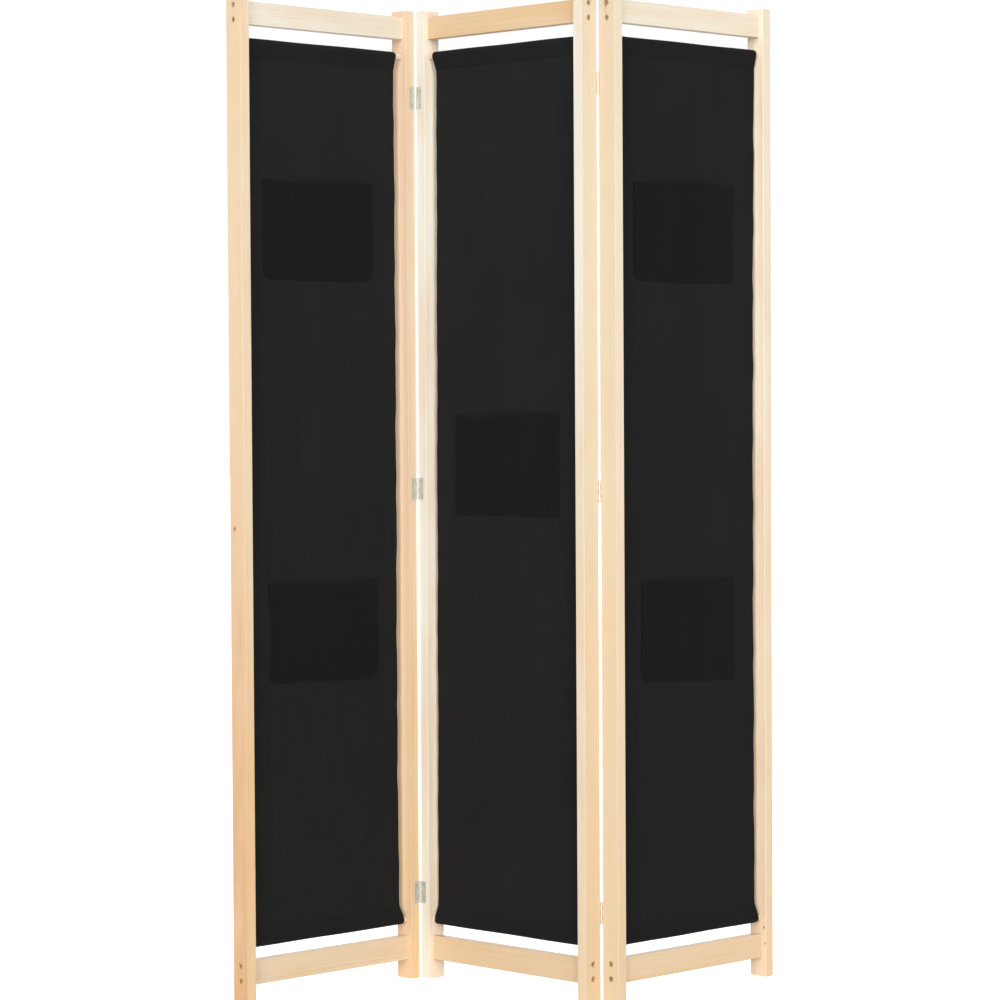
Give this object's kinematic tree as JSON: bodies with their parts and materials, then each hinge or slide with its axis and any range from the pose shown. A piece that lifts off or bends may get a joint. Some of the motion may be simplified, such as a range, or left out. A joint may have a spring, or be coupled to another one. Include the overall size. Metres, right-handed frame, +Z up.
{
  "type": "folding room divider screen",
  "caption": "Folding room divider of hinged pine frames, each with a black cloth panel hung between wooden rods and flat cloth pockets on its front.",
  "frame": {"origin": "on the floor, in the middle of the centre panel, which is the middle of the whole zigzag", "axes": "+X along the centre panel from the left fold to the right fold, -Y out of the centre panel's front, +Z up"},
  "size_m": [0.4774, 0.8414, 1.7],
  "materials": {
    "pine_frame": "clear lacquered pine, satin",
    "rod": "plain turned wood, matt",
    "panel_cloth": "black plain-woven cloth, slightly see-through",
    "pocket_cloth": "black plain-woven cloth, double layer",
    "hinge": "zinc-plated pressed steel",
    "hinge_screw": "zinc-plated steel",
    "frame_screw": "yellow-passivated steel"
  },
  "bodies": {
    "centre_panel": {"centre_left_stile": "pine_frame", "centre_right_stile": "pine_frame", "centre_top_rail": "pine_frame", "centre_bottom_rail": "pine_frame", "centre_top_rod": "rod", "centre_bottom_rod": "rod", "centre_fabric": "panel_cloth", "centre_frame_screws": "frame_screw", "centre_middle_pocket": "pocket_cloth", "left_fold_top_fixed_leaf": "hinge", "left_fold_top_pin": "hinge", "left_fold_middle_fixed_leaf": "hinge", "left_fold_middle_pin": "hinge", "left_fold_bottom_fixed_leaf": "hinge", "left_fold_bottom_pin": "hinge", "left_fold_fixed_screws": "hinge_screw", "right_fold_top_fixed_leaf": "hinge", "right_fold_top_pin": "hinge", "right_fold_middle_fixed_leaf": "hinge", "right_fold_middle_pin": "hinge", "right_fold_bottom_fixed_leaf": "hinge", "right_fold_bottom_pin": "hinge", "right_fold_fixed_screws": "hinge_screw"},
    "left_panel": {"left_left_stile": "pine_frame", "left_right_stile": "pine_frame", "left_top_rail": "pine_frame", "left_bottom_rail": "pine_frame", "left_top_rod": "rod", "left_bottom_rod": "rod", "left_fabric": "panel_cloth", "left_frame_screws": "frame_screw", "left_upper_pocket": "pocket_cloth", "left_lower_pocket": "pocket_cloth", "left_fold_top_moving_leaf": "hinge", "left_fold_middle_moving_leaf": "hinge", "left_fold_bottom_moving_leaf": "hinge", "left_fold_moving_screws": "hinge_screw"},
    "right_panel": {"right_left_stile": "pine_frame", "right_right_stile": "pine_frame", "right_top_rail": "pine_frame", "right_bottom_rail": "pine_frame", "right_top_rod": "rod", "right_bottom_rod": "rod", "right_fabric": "panel_cloth", "right_frame_screws": "frame_screw", "right_upper_pocket": "pocket_cloth", "right_lower_pocket": "pocket_cloth", "right_fold_top_moving_leaf": "hinge", "right_fold_middle_moving_leaf": "hinge", "right_fold_bottom_moving_leaf": "hinge", "right_fold_moving_screws": "hinge_screw"}
  },
  "joints": [
    {"name": "left_fold", "type": "hinge", "parent": "centre_panel", "child": "left_panel", "pos_m": [-0.20075, -0.02, 0.85], "axis": [0, 0, 1], "range_deg": [-90, 90]},
    {"name": "right_fold", "type": "hinge", "parent": "centre_panel", "child": "right_panel", "pos_m": [0.20075, 0.02, 0.85], "axis": [0, 0, 1], "range_deg": [-90, 90]}
  ]
}
